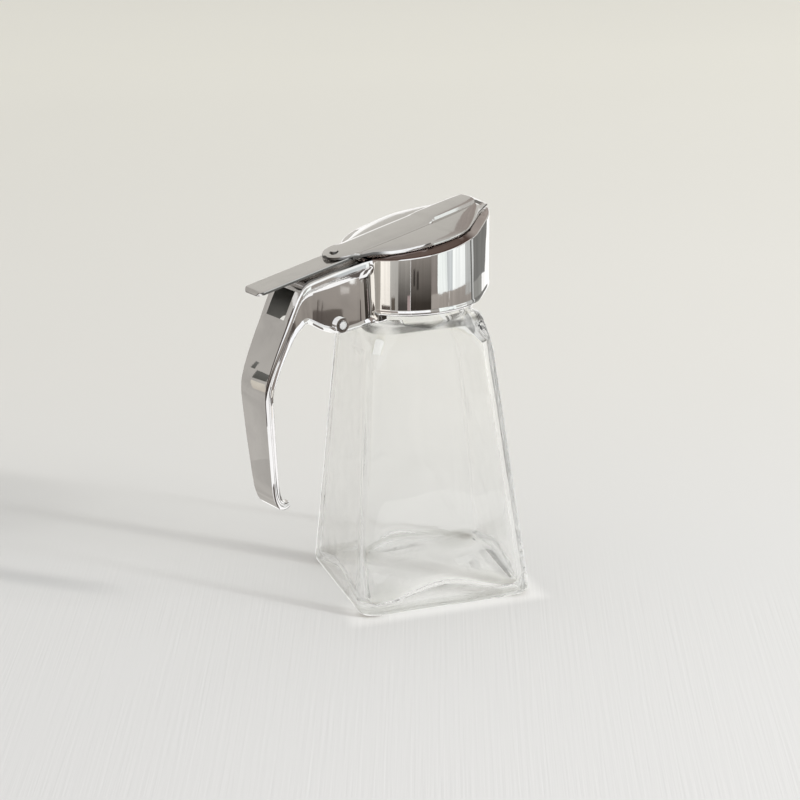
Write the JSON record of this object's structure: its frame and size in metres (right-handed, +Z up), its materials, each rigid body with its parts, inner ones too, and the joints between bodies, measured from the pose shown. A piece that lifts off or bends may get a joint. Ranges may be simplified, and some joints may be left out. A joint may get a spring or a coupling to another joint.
{
  "type": "syrup dispenser",
  "caption": "Tapered square glass syrup jar with a chrome pouring cap, a long handle and a sliding lid worked by a thumb strip.",
  "frame": {"origin": "centre of the jar's flat bottom", "axes": "+Z up the jar's axis, +X to the pouring beak, -X to the handle, +Y by the right-hand rule"},
  "size_m": [0.1012, 0.074, 0.1335],
  "materials": {
    "clear_glass": "clear, smooth, faint green in the thick base",
    "bright_chrome": "bright chrome plate on a casting",
    "stamped_chrome": "chrome plate on stamped sheet, slightly softer",
    "pin_steel": "bright steel"
  },
  "bodies": {
    "root": {"jar": "clear_glass", "cap": "bright_chrome", "pin": "pin_steel"},
    "slider": {"lid": "stamped_chrome", "thumb_strip": "stamped_chrome"}
  },
  "joints": [
    {"name": "lid_slide", "type": "slide", "parent": "root", "child": "slider", "axis": [-0.9874, 0, -0.158], "range_m": [0, 0.013], "stiffness_N_per_m": 300, "springref_m": -0.003}
  ]
}
